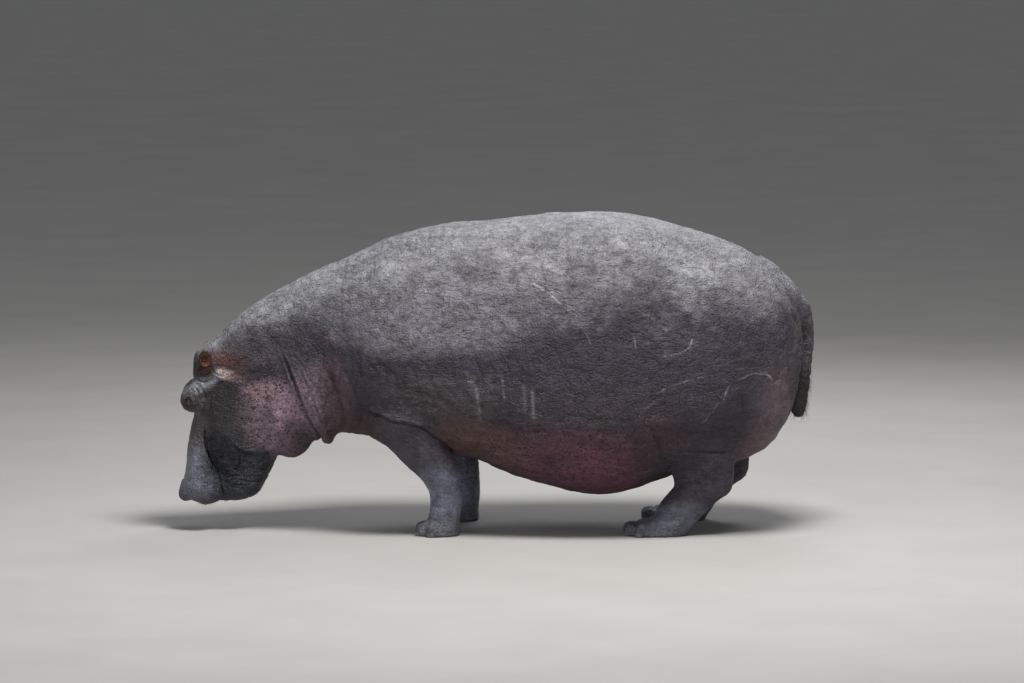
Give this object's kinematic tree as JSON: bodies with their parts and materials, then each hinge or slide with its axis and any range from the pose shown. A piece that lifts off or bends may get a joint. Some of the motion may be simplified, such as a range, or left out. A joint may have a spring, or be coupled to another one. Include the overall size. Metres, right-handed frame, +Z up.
{
  "type": "hippopotamus model",
  "caption": "Life-size still model of a grown hippopotamus standing with its head lowered to graze, muzzle just above the floor, for display or as scenery",
  "frame": {"origin": "on the floor, under the middle of the model's box", "axes": "+Z up; the head points to -X and the tail to +X, along the longest side of the box; the animal's left side is towards -Y"},
  "size_m": [3.0528, 1.1916, 1.5224],
  "materials": {
    "back_hide": "thick hairless hide, dry and dusty over the back, pink below",
    "neck_hide": "creased hairless hide, slate to pink",
    "face_hide": "folded hide, dark round the eyes and pink on the cheeks",
    "lip_hide": "damp wrinkled blue grey hide",
    "ear_hide": "thin reddish hide with short bristles",
    "leg_hide": "blue grey hide, darker and muddy at the foot",
    "tail_hide": "dark ringed hide with bristles at the tip",
    "eye": "wet dark brown eyeball",
    "nail": "dull grey horn"
  },
  "bodies": {
    "root": {"trunk": "back_hide", "neck": "neck_hide", "head": "face_hide", "lower_jaw": "lip_hide", "tail": "tail_hide", "ear_left": "ear_hide", "eye_left": "eye", "fore_leg_left": "leg_hide", "fore_foot_left": "leg_hide", "fore_nail_left_1": "nail", "fore_nail_left_2": "nail", "fore_nail_left_3": "nail", "fore_nail_left_4": "nail", "hind_leg_left": "leg_hide", "hind_foot_left": "leg_hide", "hind_nail_left_1": "nail", "hind_nail_left_2": "nail", "hind_nail_left_3": "nail", "hind_nail_left_4": "nail", "ear_right": "ear_hide", "eye_right": "eye", "fore_leg_right": "leg_hide", "fore_foot_right": "leg_hide", "fore_nail_right_1": "nail", "fore_nail_right_2": "nail", "fore_nail_right_3": "nail", "fore_nail_right_4": "nail", "hind_leg_right": "leg_hide", "hind_foot_right": "leg_hide", "hind_nail_right_1": "nail", "hind_nail_right_2": "nail", "hind_nail_right_3": "nail", "hind_nail_right_4": "nail"}
  },
  "joints": []
}
